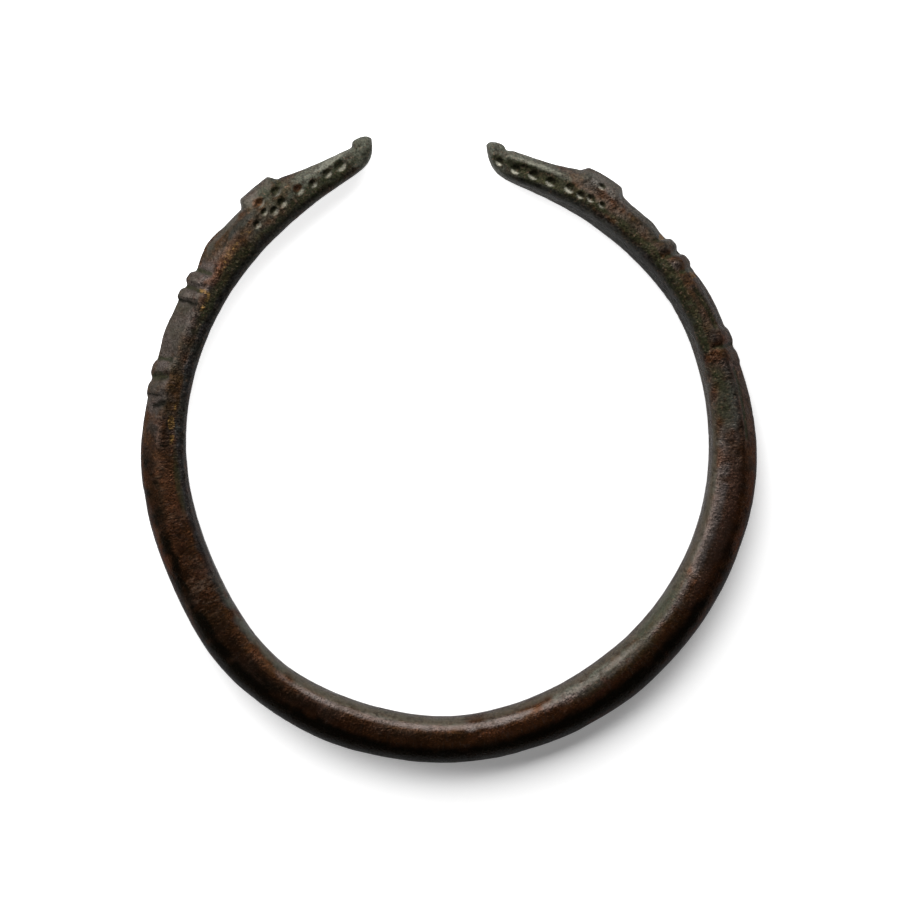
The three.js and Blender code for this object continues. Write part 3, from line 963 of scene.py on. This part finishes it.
def bar_object(surface):
    """The surface as a mesh object in the frame, with its marks as attributes."""
    points = surface.points + surface.normals * surface.height[..., None]
    points[..., 2] = np.maximum(points[..., 2], FLAT_DEPTH - BAR_HEIGHT / 2)
    rows, columns = surface.out.shape
    ends = np.stack([points[0].mean(0), points[-1].mean(0)])
    grid = np.arange(rows * columns).reshape(rows, columns)
    beside = np.roll(grid, -1, axis=1)
    quads = np.stack([grid[:-1], grid[1:], beside[1:], beside[:-1]], -1).reshape(-1, 4)
    first = [(rows * columns, a, b) for a, b in zip(grid[0], beside[0])]
    last = [(rows * columns + 1, b, a) for a, b in zip(grid[-1], beside[-1])]
    corners = np.concatenate([points.reshape(-1, 3), ends])
    low, high = corners.min(0), corners.max(0)
    cad_low, cad_high = (np.array(corner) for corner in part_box(NODE))
    corners = cad_low + (corners - low) / (high - low) * (cad_high - cad_low)
    mesh = bpy.data.meshes.new("bracelet_bar")
    mesh.from_pydata(corners.tolist(), [], [*quads.tolist(), *first, *last])
    mesh.polygons.foreach_set("use_smooth", [True] * len(mesh.polygons))
    for name, amount in surface.marks.items():
        values = np.r_[amount.ravel(), amount[0, 0], amount[-1, 0]]
        attribute = mesh.attributes.new(name, "FLOAT", "POINT")
        attribute.data.foreach_set("value", values.astype(np.float32))
    place = np.concatenate([surface.bar_place.reshape(-1, 3), surface.bar_place[[0, -1], 0]])
    attribute = mesh.attributes.new("bar_place", "FLOAT_VECTOR", "POINT")
    attribute.data.foreach_set("vector", place.astype(np.float32).ravel())
    mesh.validate()
    bracelet = bpy.data.objects.new("bracelet_bar", mesh)
    bpy.context.collection.objects.link(bracelet)
    return bracelet


# Where the camera looks, how it is turned in degrees, how wide it sees there, and its sensor in millimetres
AIM = (0.000165, -0.000357, 0.0028)
TURN = -3.3
FIELD = 0.105
SENSOR = 36.0
CLOSEST = 0.01

# Where the key light comes from, and the way over the floor in which its own light grows
KEY_FROM = (-0.21, 0.663, 0.719)
KEY_DISTANCE = 1.2
GLOW_WAY = (-0.5, 0.87, 0)
GLOW_REACH = 0.045

FLOOR_HALF = 1.5
FLOOR_GAP = 0.02 * MM
FLOOR_ROUGHNESS = 0.9
FLOOR_SHEEN = 0.1


class BRACELET_OT_studio(bpy.types.Operator):
    """Makes the pale floor, the soft light and the camera over the bracelet"""

    bl_idname = "bracelet.studio"
    bl_label = "Studio"

    def execute(self, context):
        settings = context.scene.studio_settings
        make_floor(settings)
        make_light(settings)
        make_room(settings)
        make_camera(settings)
        return {"FINISHED"}


def make_floor(settings):
    """A pale floor that gives some light of its own, more of it towards the key light."""
    nodes = Nodes("floor_paper")
    way = {0: nodes.place(), 1: GLOW_WAY}
    towards = nodes.add("ShaderNodeVectorMath", {"operation": "DOT_PRODUCT"}, way, output=1)
    growth = towards.between(-GLOW_REACH, GLOW_REACH) * (settings.glow_far - settings.glow_near)
    nodes.feed(nodes.shader, {
        "Base Color": (*settings.floor, 1),
        "Roughness": FLOOR_ROUGHNESS,
        "Specular IOR Level": FLOOR_SHEEN,
        "Emission Color": growth + settings.glow_near,
        "Emission Strength": 1,
    })
    half = FLOOR_HALF
    corners = [(-half, -half, 0), (half, -half, 0), (half, half, 0), (-half, half, 0)]
    mesh = bpy.data.meshes.new("floor")
    mesh.from_pydata(corners, [], [(0, 1, 2, 3)])
    mesh.materials.append(nodes.material)
    floor = bpy.data.objects.new("floor", mesh)
    floor.location.z = CAD_LOW.z - FLOOR_GAP
    bpy.context.collection.objects.link(floor)


def make_light(settings):
    """The wide soft key light, at the upper left behind the mouth."""
    key = bpy.data.lights.new("key_light", "AREA")
    key.energy = settings.key_power
    key.shape = "RECTANGLE"
    key.size = settings.key_width
    key.size_y = settings.key_height
    lamp = bpy.data.objects.new("key_light", key)
    direction = Vector(KEY_FROM).normalized()
    lamp.location = direction * KEY_DISTANCE
    lamp.rotation_euler = direction.to_track_quat("Z", "Y").to_euler()
    bpy.context.collection.objects.link(lamp)


def make_room(settings):
    """A dim room all round, and colours shown as they are."""
    world = bpy.data.worlds.new("room")
    world.use_nodes = True
    background = world.node_tree.nodes["Background"]
    background.inputs["Color"].default_value = (1, 1, 1, 1)
    background.inputs["Strength"].default_value = settings.room
    bpy.context.scene.world = world
    bpy.context.scene.view_settings.view_transform = "Standard"


def make_camera(settings):
    """A camera straight above, turned as the photo is."""
    lens = bpy.data.cameras.new("camera")
    lens.sensor_width = SENSOR
    lens.lens = SENSOR * settings.camera_height / FIELD
    lens.clip_start = CLOSEST
    camera = bpy.data.objects.new("camera", lens)
    camera.location = Vector(AIM) + Vector((0, 0, settings.camera_height))
    camera.rotation_euler = (0, 0, np.radians(TURN))
    bpy.context.collection.objects.link(camera)
    bpy.context.scene.camera = camera


class BRACELET_PT_panel(bpy.types.Panel):
    """The bracelet's operators and settings"""

    bl_idname = "BRACELET_PT_panel"
    bl_label = "Bronze bracelet"
    bl_space_type = "VIEW_3D"
    bl_region_type = "UI"
    bl_category = "Bracelet"

    def draw(self, context):
        layout = self.layout
        for operator in OPERATORS:
            layout.operator(operator.bl_idname)
        for group in (getattr(context.scene, name) for name in GROUPS):
            column = layout.column(align=True)
            for name in group.bl_rna.properties.keys():
                if name not in ("rna_type", "name"):
                    column.prop(group, name)


GROUPS = {
    "bracelet_sizes": BraceletSizes,
    "bronze_colours": BronzeColours,
    "studio_settings": StudioSettings,
}
OPERATORS = (BRACELET_OT_bar, BRACELET_OT_studio)
CLASSES = (*GROUPS.values(), *OPERATORS, BRACELET_PT_panel)


def register():
    """Makes the classes known, and their settings part of every scene."""
    for made in CLASSES:
        bpy.utils.register_class(made)
    for name, group in GROUPS.items():
        setattr(bpy.types.Scene, name, PointerProperty(type=group))


def unregister():
    """Takes back what register does."""
    for name in GROUPS:
        delattr(bpy.types.Scene, name)
    for made in reversed(CLASSES):
        bpy.utils.unregister_class(made)


def main():
    """Builds the bracelet and its studio."""
    register()
    bpy.ops.bracelet.bar()
    bpy.ops.bracelet.studio()


if __name__ == "__main__":
    main()
